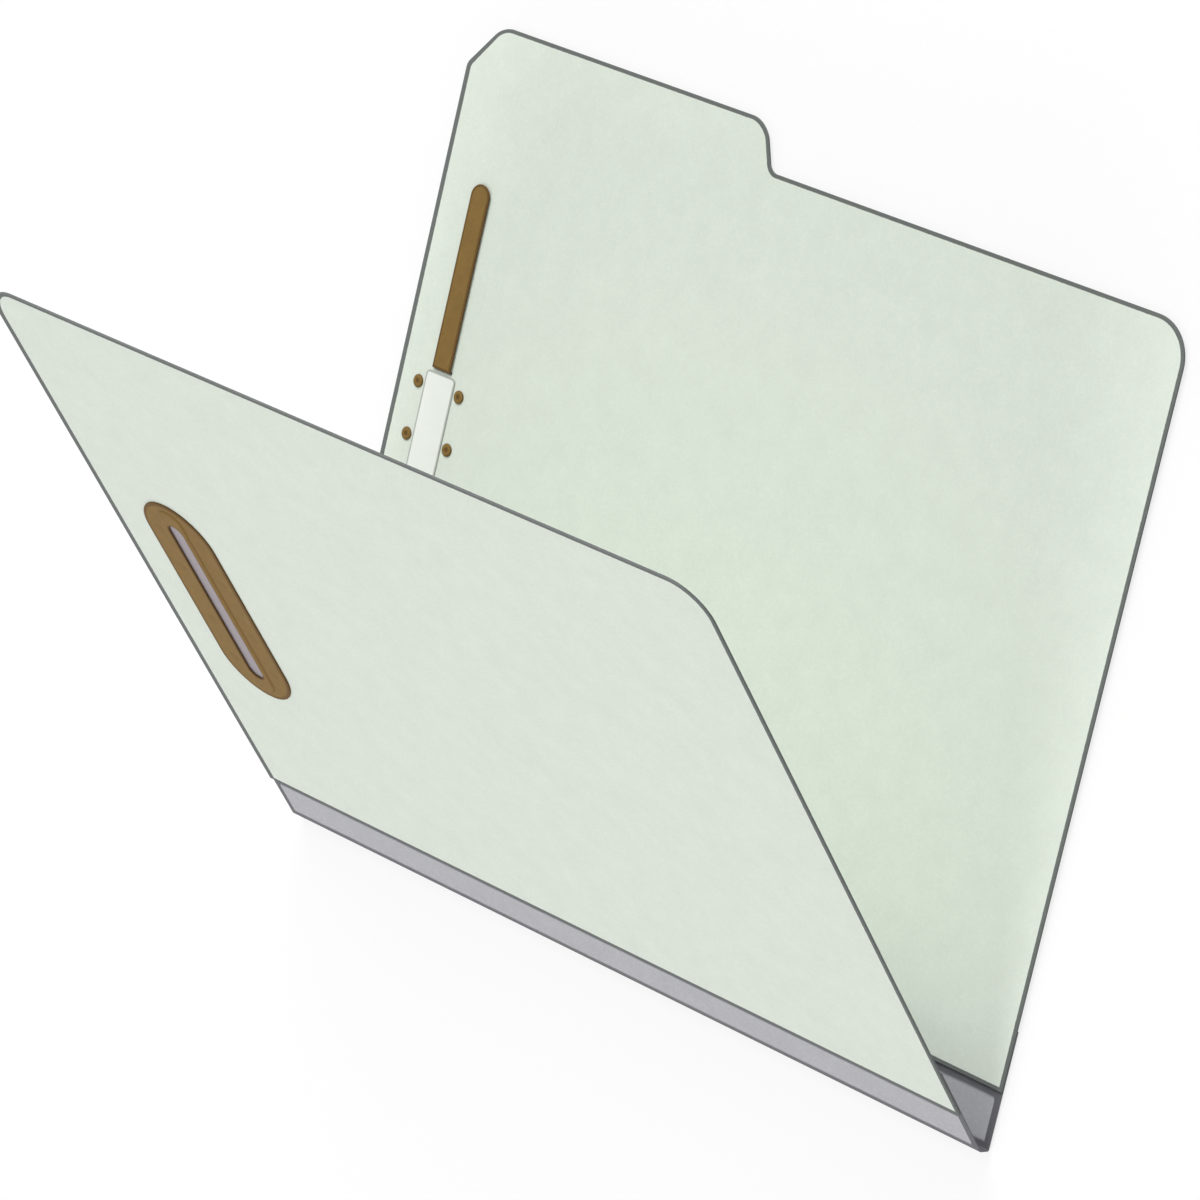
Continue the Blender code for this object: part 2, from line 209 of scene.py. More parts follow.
class FolderFasteners(bpy.types.PropertyGroup):
    """The two prong fasteners."""

    height: length("Height", "Crease to the middle of the fastener", 98.5 * MM)
    back_inset: length("Back inset", "Cover's end to the back fastener's middle", 19.0 * MM)
    front_inset: length("Front inset", "Cover's end to the front fastener's middle", 33.0 * MM)
    pitch: length("Prong pitch", "Distance between the prongs", 70.0 * MM)
    prong: length("Prong length", "Length of a prong", 59.4 * MM)
    prong_width: length("Prong width", "Width of a prong with its coat", 8.0 * MM)
    prong_thickness: length("Prong thickness", "Thickness of a prong with its coat", 0.55 * MM)
    prong_lift: length("Prong lift", "Board to the middle of a prong", 0.80 * MM)
    # The prong's dark rim is painted edge shade in the coat.
    prong_rim: length("Prong rim", "Width of the dark rim of a prong", 0.55 * MM)
    prong_fade: length("Prong rim fade", "Width over which a prong's rim fades out", 0.5 * MM)
    prong_ease: length("Prong edge", "Rounding of a prong's edges", 0.16 * MM)
    steel_width: length("Bar width", "Width of the bare steel bar", 7.8 * MM)
    steel_thickness: length("Bar thickness", "Thickness of the bare steel bar", 0.35 * MM)
    steel_bend: length("Bar bend", "Radius where the bar turns into its legs", 0.5 * MM)
    thin_ease: length("Thin edge", "Rounding of the edges of the bar and the strip", 0.06 * MM)
    plate_width: length("Plate width", "Width of the oval plate", 30.0 * MM)
    plate_straight: length("Plate straight", "Half the straight length of the plate", 28.0 * MM)
    strip_width: length("Strip width", "Width of the pale strip", 13.0 * MM)
    strip_thickness: length("Strip thickness", "Thickness of the pale strip", 0.25 * MM)
    strip_setback: length("Strip setback", "Prong's root to the end of the pale strip", 1.2 * MM)
    strip_corner: length("Strip corner", "Radius of the pale strip's corners", 1.5 * MM)
    # The strip's grey rim is painted edge shade.
    strip_rim: length("Strip rim", "Width of the grey rim of the pale strip", 0.45 * MM)
    strip_fade: length("Strip rim fade", "Width over which the strip's rim fades out", 0.4 * MM)
    rivet_across: length("Rivet offset", "Rivets from the fastener's middle line", 9.3 * MM)
    rivet_outer: length("Outer rivets", "Outer rivets from the fastener's middle", 29.0 * MM)
    rivet_inner: length("Inner rivets", "Inner rivets from the fastener's middle", 12.0 * MM)
    coat: colour("Brown coat", "Coat on the plates, prongs and rivets", 130, 103, 57)
    # Painted edge shade of the coat, at edges and in the rivets' dimples.
    coat_edge_shade: colour("Coat edge", "Coat where it runs thick along an edge", 104, 78, 42)
    steel: colour("Bare steel", "Steel seen through the slot", 150, 142, 146)
    strip: colour("Pale strip", "Strip between the prongs", 236, 239, 234)


class FolderStage(bpy.types.PropertyGroup):
    """The floor, lamps and camera."""

    floor: colour("Floor", "Plain pale floor", 240, 240, 240)
    sky: FloatProperty(name="Sky", description="Strength of the even sky light", default=0.42, min=0.0)
    inside_lamp: power("Inside lamp", "Power of the lamp that faces into the folder", 48.0)
    outside_lamp: power("Outside lamp", "Power of the lamp on the front cover", 28.8)
    lens: FloatProperty(
        name="Lens",
        description="Focal length for a 36 mm frame",
        default=FOCAL_PIXELS * SENSOR_WIDTH / PICTURE_PIXELS,
        min=1.0,
        unit="CAMERA",
    )


# Shader values and finishes

class Value:
    """A shader value whose operators add Math nodes."""

    def __init__(self, finish, socket):
        self.finish = finish
        self.socket = socket

    def math(self, operation, *others):
        values = dict(enumerate((self, *others)))
        return self.finish.node("ShaderNodeMath", {"operation": operation}, values)

    def __add__(self, other):
        return self.math("ADD", other)

    __radd__ = __add__

    def __sub__(self, other):
        return self.math("SUBTRACT", other)

    def __rsub__(self, other):
        return self.finish.node("ShaderNodeMath", {"operation": "SUBTRACT"}, {0: other, 1: self})

    def __mul__(self, other):
        return self.math("MULTIPLY", other)

    __rmul__ = __mul__

    def __abs__(self):
        return self.math("ABSOLUTE")

    def between(self, low, high):
        """0 below one value, 1 above another, and smooth between them."""
        sockets = {"Value": self, "From Min": low, "From Max": high}
        return self.finish.node("ShaderNodeMapRange", {"interpolation_type": "SMOOTHSTEP"}, sockets)


class Finish:
    """One material, or the sky, and the nodes that make it."""

    def __init__(self, name, kind="materials", shader="Principled BSDF"):
        self.owner = getattr(bpy.data, kind).new(name)
        self.owner.use_nodes = True
        self.tree = self.owner.node_tree
        self.shader = self.tree.nodes[shader]

    def node(self, kind, settings, sockets, output=0):
        """Adds a node, makes its settings, then fills or links its sockets."""
        node = self.tree.nodes.new(kind)
        for key, value in settings.items():
            setattr(node, key, value)
        for key, value in sockets.items():
            self.feed(node.inputs[key], value)
        return Value(self, node.outputs[output])

    def feed(self, socket, value):
        if isinstance(value, Value):
            self.tree.links.new(value.socket, socket)
        else:
            socket.default_value = value

    def place(self, turn=0.0, stretch=(1, 1, 1)):
        """The piece's own coordinates in metres, turned about X and stretched."""
        spot = self.node("ShaderNodeTexCoord", {}, {}, "Object")
        if not turn and stretch == (1, 1, 1):
            return spot
        sockets = {"Vector": spot, "Rotation": (turn, 0, 0), "Scale": stretch}
        return self.node("ShaderNodeMapping", {"vector_type": "POINT"}, sockets)

    def noise(self, place, scale, detail=2.0, roughness=0.5, distortion=0.0):
        """Smooth random values, with this many spots to the metre."""
        names = ("Vector", "Scale", "Detail", "Roughness", "Distortion")
        sockets = dict(zip(names, (place, scale, detail, roughness, distortion)))
        return self.node("ShaderNodeTexNoise", {"noise_dimensions": "3D"}, sockets)

    def mark(self, name):
        """A number that the mesh carries at its points."""
        return self.node("ShaderNodeAttribute", {"attribute_name": name}, {}, "Fac")

    def mix(self, amount, first, second):
        """One colour fading to another."""
        sockets = {0: amount, 6: opaque(first), 7: opaque(second)}
        return self.node("ShaderNodeMix", {"data_type": "RGBA"}, sockets, 2)

    def bump(self, height, strength, distance):
        """Surface normals tilted by a height of up to this distance."""
        sockets = {"Strength": strength, "Distance": distance, "Height": height}
        return self.node("ShaderNodeBump", {}, sockets)

    def whiten(self, glow, share, output):
        """Shows a share of plain white to the rays that the picture and its mirrors see."""
        camera, glossy, through = [self.node("ShaderNodeLightPath", {}, {}, ray) for ray in SEEN_RAYS]
        seen = camera.math("MAXIMUM", glossy).math("MAXIMUM", through)
        white = self.node(glow, {}, {"Color": (1, 1, 1, 1), "Strength": 1.0})
        lit = Value(self, self.shader.outputs[0])
        both = self.node("ShaderNodeMixShader", {}, {0: seen * share, 1: lit, 2: white})
        self.feed(self.tree.nodes[output].inputs["Surface"], both)

    def done(self, **sockets):
        """Feeds the shader's sockets, named with _ for a space, and returns the finish."""
        for key, value in sockets.items():
            self.feed(self.shader.inputs[key.replace("_", " ")], value)
        return self.owner


def opaque(value):
    """A colour with full alpha, or a link as it is."""
    return value if isinstance(value, Value) else (*value, 1.0)


def tinted(value, factor):
    """A colour made lighter or darker."""
    return tuple(min(1.0, channel * factor) for channel in value)


def pressboard_finish(boards):
    """Dense pale board: pressed fibres, faint clouds and flecks, and a dark rim of painted edge shade."""
    finish = Finish("pressboard")
    spot = finish.place()
    clouds = finish.noise(spot, 120, 3)
    grain = finish.noise(spot, 900, 3, 0.6)
    field = finish.noise(spot, 430, 4, 0.55, 1.1)
    fibres = 1 - abs(field - 0.5).between(0.0, 0.035)
    flecks = finish.noise(spot, 2300, 2).between(0.66, 0.78)
    tone = 0.47 + (clouds - 0.5) * 0.5 + (grain - 0.5) * 0.45 + fibres * 0.24 - flecks * 0.5
    face = finish.mix(tone, tinted(boards.face, 0.91), tinted(boards.face, 1.085))
    # Painted edge shade: the rim mark, broken up by the grain, darkens the face to the cut-edge grey.
    painted_shade = (finish.mark("rim") + (grain - 0.5) * 0.5).between(0.3, 0.75)
    height = fibres * 0.5 + grain * 0.6 + flecks * 0.3
    return finish.done(
        Base_Color=finish.mix(painted_shade, face, boards.cut),
        Roughness=0.74 + grain * 0.16 - fibres * 0.08,
        Specular_IOR_Level=0.3,
        Normal=finish.bump(height, 0.22, 0.04 * MM),
    )


def cut_edge_finish(boards):
    """The board's cut edges in thin pressed layers, painted grey as edge shade."""
    finish = Finish("pressboard_edge_shade")
    grain = finish.noise(finish.place(), 1500, 3, 0.6)
    layers = finish.noise(finish.place(0.0, (120, 120, 5200)), 1.0, 2)
    tone = (grain * 0.6 + layers * 0.5).between(0.3, 0.8)
    return finish.done(
        Base_Color=finish.mix(tone, tinted(boards.cut, 0.82), tinted(boards.cut, 1.3)),
        Roughness=0.82 + grain * 0.12,
        Specular_IOR_Level=0.25,
        Normal=finish.bump(layers + grain, 0.35, 0.05 * MM),
    )


def tape_finish(tape):
    """Spun-bonded tape: pale curled filaments pressed into a grey web, with painted shade along the creases
    and cut ends.
    """
    finish = Finish("gusset_tape")
    spot = finish.place()
    coarse = finish.noise(spot, 310, 5, 0.6, 2.2)
    fine = finish.noise(spot, 760, 4, 0.55, 1.6)
    clouds = finish.noise(spot, 90, 3)
    strands = 1 - abs(coarse - 0.5).between(0.0, 0.045)
    threads = 1 - abs(fine - 0.5).between(0.0, 0.06)
    tone = 0.3 + strands * 0.4 + threads * 0.22 + (clouds - 0.5) * 0.5
    face = finish.mix(tone, tinted(tape.face, 0.86), tinted(tape.face, 1.14))
    # Painted shade: the crease and end mark darkens the tape to the crease-line colour.
    painted_shade = (finish.mark("rim") + (clouds - 0.5) * 0.3).between(0.25, 0.85)
    return finish.done(
        Base_Color=finish.mix(painted_shade, face, tape.line),
        Roughness=0.62 - strands * 0.14 + clouds * 0.1,
        Specular_IOR_Level=0.4,
        Normal=finish.bump(strands * 0.7 + threads * 0.5, 0.3, 0.05 * MM),
    )


def coat_finish(parts):
    """A baked brown coat: slightly pebbled, and darker along the edges as painted edge shade."""
    finish = Finish("brown_coat")
    spot = finish.place()
    pebble = finish.noise(spot, 1700, 2)
    clouds = finish.noise(spot, 260, 4, 0.6)
    scuffs = finish.noise(spot, 620, 5, 0.7, 0.8).between(0.6, 0.74)
    tone = (0.45 + (clouds - 0.5) * 0.9 + (pebble - 0.5) * 0.4).between(0.0, 1.0)
    face = finish.mix(tone, tinted(parts.coat, 0.86), tinted(parts.coat, 1.16))
    edge = finish.mark("rim")
    # Painted edge shade: the rim mark darkens the coat to the edge-shade colour.
    dark = (edge + (clouds - 0.5) * 0.5).between(0.25, 0.9)
    return finish.done(
        Base_Color=finish.mix(dark, face, parts.coat_edge_shade),
        Roughness=0.55 + scuffs * 0.16 + pebble * 0.1,
        Specular_IOR_Level=0.12,
        Normal=finish.bump(pebble + clouds * 0.4, 0.12, 0.05 * MM),
    )


def shared_coat(parts):
    """The one coat of all the plates, prongs and rivets."""
    return bpy.data.materials.get("brown_coat") or coat_finish(parts)


def steel_finish(parts, turn, name):
    """Bare steel, drawn lengthwise, with fine streaks and a few dull spots."""
    finish = Finish(name)
    streaks = finish.noise(finish.place(turn, (2600, 40, 2600)), 1.0, 4, 0.6)
    spots = finish.noise(finish.place(), 420, 4, 0.6).between(0.5, 0.72)
    tone = 0.2 + streaks * 0.7 - spots * 0.06
    return finish.done(
        Base_Color=finish.mix(tone, tinted(parts.steel, 0.7), tinted(parts.steel, 1.4)),
        Roughness=0.36 + streaks * 0.18 + spots * 0.05,
        Metallic=0.75,
        Normal=finish.bump(streaks, 0.2, 0.02 * MM),
    )


def strip_finish(parts):
    """A smooth pale reinforcing strip with faint fibres and edges greyed as painted edge shade."""
    finish = Finish("pale_strip")
    spot = finish.place()
    clouds = finish.noise(spot, 210, 3)
    grain = finish.noise(spot, 1600, 3, 0.6)
    tone = 0.5 + (clouds - 0.5) * 0.6 + (grain - 0.5) * 0.5
    face = finish.mix(tone, tinted(parts.strip, 0.94), tinted(parts.strip, 1.04))
    # Painted edge shade: the rim mark greys the strip's edges.
    edge = (finish.mark("rim") + (clouds - 0.5) * 0.3).between(0.3, 0.9)
    return finish.done(
        Base_Color=finish.mix(edge, face, tinted(parts.strip, 0.52)),
        Roughness=0.5 + grain * 0.15,
        Normal=finish.bump(grain + clouds * 0.4, 0.15, 0.03 * MM),
    )


# Modelling by hand

def select_only(item):
    """Selects one object alone and makes it active."""
    bpy.ops.object.select_all(action="DESELECT")
    item.select_set(True)
    bpy.context.view_layer.objects.active = item


def add_sheet(name, left, right, low, high):
    """Adds a flat sheet in XY between these sides."""
    bpy.ops.object.select_all(action="DESELECT")
    middle = ((left + right) / 2, (low + high) / 2, 0)
    bpy.ops.mesh.primitive_plane_add(size=1, location=middle)
    item = bpy.context.object
    item.name = name
    item.data.name = name
    item.scale = (right - left, high - low, 1)
    bpy.ops.object.transform_apply(location=True, rotation=True, scale=True)
    return item


def add_circle(name, steps, radius, middle, fill, turn=0.0):
    """Adds a circle or a disc in XY."""
    bpy.ops.object.select_all(action="DESELECT")
    bpy.ops.mesh.primitive_circle_add(
        vertices=steps, radius=radius, fill_type=fill, location=middle, rotation=(0, 0, turn)
    )
    item = bpy.context.object
    item.name = name
    bpy.ops.object.transform_apply(location=True, rotation=True, scale=True)
    return item


def pick(item, kind, test):
    """In edit mode, selects only the points, edges or faces whose middle passes the test."""
    bpy.ops.mesh.select_mode(type=kind)
    bpy.ops.mesh.select_all(action="DESELECT")
    shape = bmesh.from_edit_mesh(item.data)
    for part in {"VERT": shape.verts, "EDGE": shape.edges, "FACE": shape.faces}[kind]:
        points = [part.co] if kind == "VERT" else [vert.co for vert in part.verts]
        part.select_set(test(sum(points, Vector()) / len(points)))
    shape.select_flush_mode()
    bmesh.update_edit_mesh(item.data)


def pick_points(item, test):
    """In edit mode, selects only the points that pass a test of the point itself."""
    bpy.ops.mesh.select_mode(type="VERT")
    bpy.ops.mesh.select_all(action="DESELECT")
    shape = bmesh.from_edit_mesh(item.data)
    for vert in shape.verts:
        vert.select_set(test(vert))
    shape.select_flush_mode()
    bmesh.update_edit_mesh(item.data)


def near(*place):
    """A test for one place."""
    return lambda middle: (middle - Vector(place)).length < SAME_PLACE


def round_corner(item, x, y, reach, steps):
    """In edit mode, rounds one corner of a flat sheet."""
    pick(item, "VERT", near(x, y, 0))
    bpy.ops.mesh.bevel(
        offset_type="ABSOLUTE", offset=reach, segments=steps, affect="VERTICES", clamp_overlap=False
    )


def inset_rim(item, rim, fade, widen=None):
    """In edit mode, insets a flat face twice and marks all but its middle as rim."""
    pick(item, "FACE", lambda middle: True)
    bpy.ops.mesh.inset(thickness=rim, depth=0, use_even_offset=True)
    if widen:
        widen()
    bpy.ops.mesh.inset(thickness=fade, depth=0, use_even_offset=True)
    shape = bmesh.from_edit_mesh(item.data)
    layer = shape.verts.layers.float.new("rim")
    for vert in shape.verts:
        vert[layer] = 0.0 if vert.select else 1.0
    bmesh.update_edit_mesh(item.data)


def apply_modifier(item, kind, **settings):
    """Adds one modifier, makes its settings and applies it."""
    select_only(item)
    modifier = item.modifiers.new(kind.lower(), kind)
    for key, value in settings.items():
        setattr(modifier, key, value)
    bpy.ops.object.modifier_apply(modifier=modifier.name)


def thicken(item, thickness, offset, rim_slot=0):
    """Gives a sheet its thickness, above it for an offset of 1 and on both sides for 0."""
    apply_modifier(
        item,
        "SOLIDIFY",
        thickness=thickness,
        offset=offset,
        use_even_offset=True,
        material_offset_rim=rim_slot,
    )


def ease_edges(item, width, steps=2):
    """Rounds the sharp edges of a piece."""
    apply_modifier(
        item, "BEVEL", width=width, segments=steps, limit_method="ANGLE", angle_limit=math.radians(50)
    )


def cut_box(item, middle, size):
    """Cuts a square-edged slit."""
    bpy.ops.object.select_all(action="DESELECT")
    bpy.ops.mesh.primitive_cube_add(size=1, location=middle)
    cutter = bpy.context.object
    cutter.scale = size
    bpy.ops.object.transform_apply(location=True, rotation=True, scale=True)
    apply_modifier(item, "BOOLEAN", operation="DIFFERENCE", solver="EXACT", object=cutter)
    bpy.data.objects.remove(cutter)


def add_run(name, left, right, path):
    """Adds a sheet that follows (Y, Z) points, drawn out edge by edge."""
    (first_y, first_z), (next_y, next_z) = path[0], path[1]
    item = add_sheet(name, left, right, 0, 1)
    for vert in item.data.vertices:
        start = vert.co.y < 0.5
        vert.co.y = first_y if start else next_y
        vert.co.z = first_z if start else next_z
    bpy.ops.object.mode_set(mode="EDIT")
    pick(item, "EDGE", near((left + right) / 2, next_y, next_z))
    for (y, z), (after_y, after_z) in zip(path[1:], path[2:]):
        step = (0, after_y - y, after_z - z)
        bpy.ops.mesh.extrude_region_move(TRANSFORM_OT_translate={"value": step})
    face_outward()
    return item


def face_outward():
    """Turns all faces outward and leaves edit mode."""
    bpy.ops.mesh.select_all(action="SELECT")
    bpy.ops.mesh.remove_doubles(threshold=SAME_PLACE)
    bpy.ops.mesh.normals_make_consistent(inside=False)
    bpy.ops.object.mode_set(mode="OBJECT")


def mark_rim(item, rule):
    """Stores how much each point belongs to a rim or crease, which the finishes paint as shade."""
    layer = item.data.attributes.get("rim") or item.data.attributes.new("rim", "FLOAT", "POINT")
    layer.data.foreach_set("value", [rule(vert.co) for vert in item.data.vertices])


def copy_to(source, name, matrix):
    """A copy with its own mesh, laid in place."""
    item = source.copy()
    item.data = source.data.copy()
    item.name = name
    item.data.name = name
    bpy.context.collection.objects.link(item)
    item.data.transform(matrix)
    return item


def settle(item, body, nodes):
    """Lets a finished piece move with its body and stand for the model's own nodes."""
    if body:
        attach(item, body)
    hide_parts(*nodes)


def back_matrix():
    """Where a sheet laid with its crease on X goes on the back cover."""
    return Matrix.Translation((BACK_LOW.x, BACK_CREASE.y, 0))


def front_matrix():
    """Where a sheet laid with its crease on X goes on the front cover."""
    return Matrix.Translation((BACK_LOW.x, *FRONT_CREASE.yz)) @ Matrix.Rotation(OPEN_ANGLE, 4, "X")


def fastener_matrix(side, parts, boards):
    """Where a fastener goes whose outer face is +Z."""
    if side == "back":
        seat = Matrix.Translation((parts.back_inset, parts.height, BACK_LOW.z))
        return back_matrix() @ seat @ Matrix.Rotation(math.pi, 4, "Y")
    outside = boards.front_gap + boards.thickness
    return front_matrix() @ Matrix.Translation((parts.front_inset, parts.height, outside))


def folder_settings():
    """The settings of the boards and of the fasteners."""
    scene = bpy.context.scene
    return scene.folder_boards, scene.folder_fasteners


class FOLDER_OT_boards(bpy.types.Operator):
    """Models both pressboard covers, with the tab, rounded corners and slits for the prongs"""

    bl_idname = "folder.boards"
    bl_label = "Pressboard covers"

    def execute(self, context):
        boards, parts = folder_settings()
        finishes = (pressboard_finish(boards), cut_edge_finish(boards))
        for side, cut, inset, low, matrix in (
            ("back", self.cut_back, parts.back_inset, BACK_LOW.z, back_matrix()),
            ("front", self.cut_front, parts.front_inset, boards.front_gap, front_matrix()),
        ):
            item = cut(boards)
            self.finish_board(item, boards, parts, inset, low, finishes)
            item.data.transform(matrix)
            settle(item, side, [f"{side}_cover"])
        return {"FINISHED"}

    def cut_front(self, boards):
        """A plain sheet with two rounded corners."""
        item = add_sheet("front_board", 0, boards.width, boards.setback, boards.front_height)
        bpy.ops.object.mode_set(mode="EDIT")
        for x in (0, boards.width):
            round_corner(item, x, boards.front_height, boards.corner, CORNER_STEPS)
        self.darken_rim(item, boards, boards.front_end)
        bpy.ops.object.mode_set(mode="OBJECT")
        return item

    def darken_rim(self, item, boards, extra):
        """Insets the rim of painted edge shade, which is wider at the end by the fastener and eases off
        round the corner.
        """
        reach = boards.corner

        def widen():
            faces = bmesh.from_edit_mesh(item.data).faces
            middle = max(faces, key=lambda face: face.calc_area()).index

            def by_end(vert):
                return vert.co.x < reach and any(face.index == middle for face in vert.link_faces)

            pick_points(item, by_end)
            size = (reach - boards.rim - extra) / (reach - boards.rim)
            bpy.ops.transform.resize(value=(size, 1, 1), center_override=(reach, 0, 0))
            bpy.ops.mesh.select_mode(type="FACE")
            shape = bmesh.from_edit_mesh(item.data)
            for face in shape.faces:
                face.select_set(face.index == middle)
            bmesh.update_edit_mesh(item.data)

        inset_rim(item, boards.rim, boards.rim_fade, widen)

    def cut_back(self, boards):
        """A sheet whose edge is drawn out into the tab, then tapered and rounded."""
        top = boards.back_height
        tip = top + boards.tab_height
        shoulder = boards.tab_outer + boards.tab_top
        foot = shoulder + boards.tab_inner
        item = add_sheet("back_board", 0, boards.width, boards.setback, top)
        bpy.ops.object.mode_set(mode="EDIT")
        bpy.ops.mesh.select_all(action="SELECT")
        bpy.ops.mesh.bisect(plane_co=(foot, 0, 0), plane_no=(1, 0, 0))
        pick(item, "EDGE", near(foot / 2, top, 0))
        bpy.ops.mesh.extrude_region_move(TRANSFORM_OT_translate={"value": (0, boards.tab_height, 0)})
        for x, move in ((0, boards.tab_outer), (foot, -boards.tab_inner)):
            pick(item, "VERT", near(x, tip, 0))
            bpy.ops.transform.translate(value=(move, 0, 0))
        pick(item, "FACE", lambda middle: True)
        bpy.ops.mesh.dissolve_faces()
        pick(item, "VERT", near(foot, boards.setback, 0))
        bpy.ops.mesh.dissolve_verts()
        round_corner(item, boards.width, top, boards.corner, CORNER_STEPS)
        outer_turn = math.atan2(boards.tab_height, boards.tab_outer)
        inner_turn = math.atan2(boards.tab_height, boards.tab_inner)
        for x, y, radius, turn in (
            (0, top, boards.tab_foot, math.pi / 2 - outer_turn),
            (boards.tab_outer, tip, boards.tab_round, outer_turn),
            (shoulder, tip, boards.tab_round, inner_turn),
            (foot, top, boards.tab_foot, inner_turn),
        ):
            round_corner(item, x, y, radius * math.tan(turn / 2), TAB_STEPS)
        self.darken_rim(item, boards, boards.back_end)
        bpy.ops.object.mode_set(mode="OBJECT")
        return item

    def finish_board(self, item, boards, parts, inset, low, finishes):
        """Gives a sheet its finishes and thickness, and cuts the slits for the prongs."""
        for finish in finishes:
            item.data.materials.append(finish)
        item.data.transform(Matrix.Translation((0, 0, low)))
        thicken(item, boards.thickness, 1.0, 1)
        slit = (
            parts.steel_width + 2 * SLIT_CLEARANCE,
            parts.steel_thickness + 2 * SLIT_CLEARANCE,
            4 * boards.thickness,
        )
        for end in (-1, 1):
            middle = (inset, parts.height + end * parts.pitch / 2, low + boards.thickness / 2)
            cut_box(item, middle, slit)
        ease_edges(item, boards.ease)


class FOLDER_OT_tape(bpy.types.Operator):
    """Models the gusset tape in three lengths, each of which bends at one crease"""

    bl_idname = "folder.tape"
    bl_label = "Gusset tape"

    def execute(self, context):
        tape = context.scene.folder_tape
        finish = tape_finish(tape)
        along = Vector((0, math.cos(OPEN_ANGLE), math.sin(OPEN_ANGLE)))
        corner = Vector((0, SPINE_FOLD.y, BACK_CREASE.z))
        middle = (corner + SPINE_FOLD) / 2
        outward = Vector((0, -1, 0))
        upward = Vector((0, 0, 1))
        line = tape.fold_line + tape.line_fade
        front_turn = self.crease(FRONT_CREASE, along, along, tape)
        runs = (
            (
                "gusset_back_tape",
                [BACK_CREASE - outward * tape.flap, BACK_CREASE - outward * line]
                + self.crease(BACK_CREASE, outward, outward, tape)
                + [BACK_CREASE + outward * line, corner - outward * line]
                + self.crease(corner, outward, upward, tape)
                + [middle],
                ("back", "back_panel", BACK_CREASE, outward),
                ["gusset_back_flap", "gusset_back_panel"],
            ),
            (
                "gusset_spine_tape",
                [middle]
                + self.crease(SPINE_FOLD, upward, along, tape)
                + [SPINE_FOLD + along * line, FRONT_CREASE - along * line, front_turn[0]],
                ("back_panel", "front_panel", SPINE_FOLD, upward + along),
                ["gusset_spine_strip", "gusset_front_panel"],
            ),
            (
                "gusset_front_tape",
                front_turn + [FRONT_CREASE + along * line, FRONT_CREASE + along * tape.flap],
                ("front_panel", "front", FRONT_CREASE, along),
                ["gusset_front_flap"],
            ),
        )
        creases = (BACK_CREASE, corner, SPINE_FOLD, FRONT_CREASE)
        for name, path, turn, nodes in runs:
            item = add_run(name, BACK_LOW.x, BACK_HIGH.x, [point.yz for point in path])
            self.finish_tape(item, tape, finish, creases)
            first, second, centre, across = turn
            settle(item, None, nodes)
            reach = across.normalized() * tape.crease / 2
            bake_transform(item, first, second, start=centre - reach, end=centre + reach)
        return {"FINISHED"}

    def crease(self, centre, before, after, tape):
        """Points through a crease, close together where the tape turns."""
        reach = 0.75 * tape.crease
        turn = math.acos(max(-1.0, min(1.0, before.dot(after))))
        ease = tape.bend * math.tan(turn / 2)
        points = []
        for step in range(CREASE_STEPS + 1):
            spot = reach * (2 * step / CREASE_STEPS - 1)
            if abs(spot) >= ease:
                points.append(centre + (before if spot < 0 else after) * spot)
                continue
            share = (spot / ease + 1) / 2
            start, end = centre - before * ease, centre + after * ease
            curve = start * (1 - share) ** 2 + centre * (2 * share * (1 - share)) + end * share**2
            points.append(curve)
        return points

    def finish_tape(self, item, tape, finish, creases):
        """Splits off the ends, marks the painted shade of ends and creases, then gives the tape its
        thickness.
        """
        item.data.materials.append(finish)
        select_only(item)
        bpy.ops.object.mode_set(mode="EDIT")
        for inset in (tape.end_line, tape.end_line + tape.line_fade):
            for x in (BACK_LOW.x + inset, BACK_HIGH.x - inset):
                bpy.ops.mesh.select_all(action="SELECT")
                bpy.ops.mesh.bisect(plane_co=(x, 0, 0), plane_no=(1, 0, 0))
        bpy.ops.object.mode_set(mode="OBJECT")

        # How much painted shade a point takes from the nearest cut end or crease.
        def painted_shade(point):
            end = min(point.x - BACK_LOW.x, BACK_HIGH.x - point.x)
            fold = min((point.yz - crease.yz).length for crease in creases)
            past = min(end - tape.end_line, fold - tape.fold_line)
            return max(0.0, min(1.0, 1.0 - past / tape.line_fade))

        mark_rim(item, painted_shade)
        thicken(item, tape.thickness, 0.0)
        ease_edges(item, tape.ease)


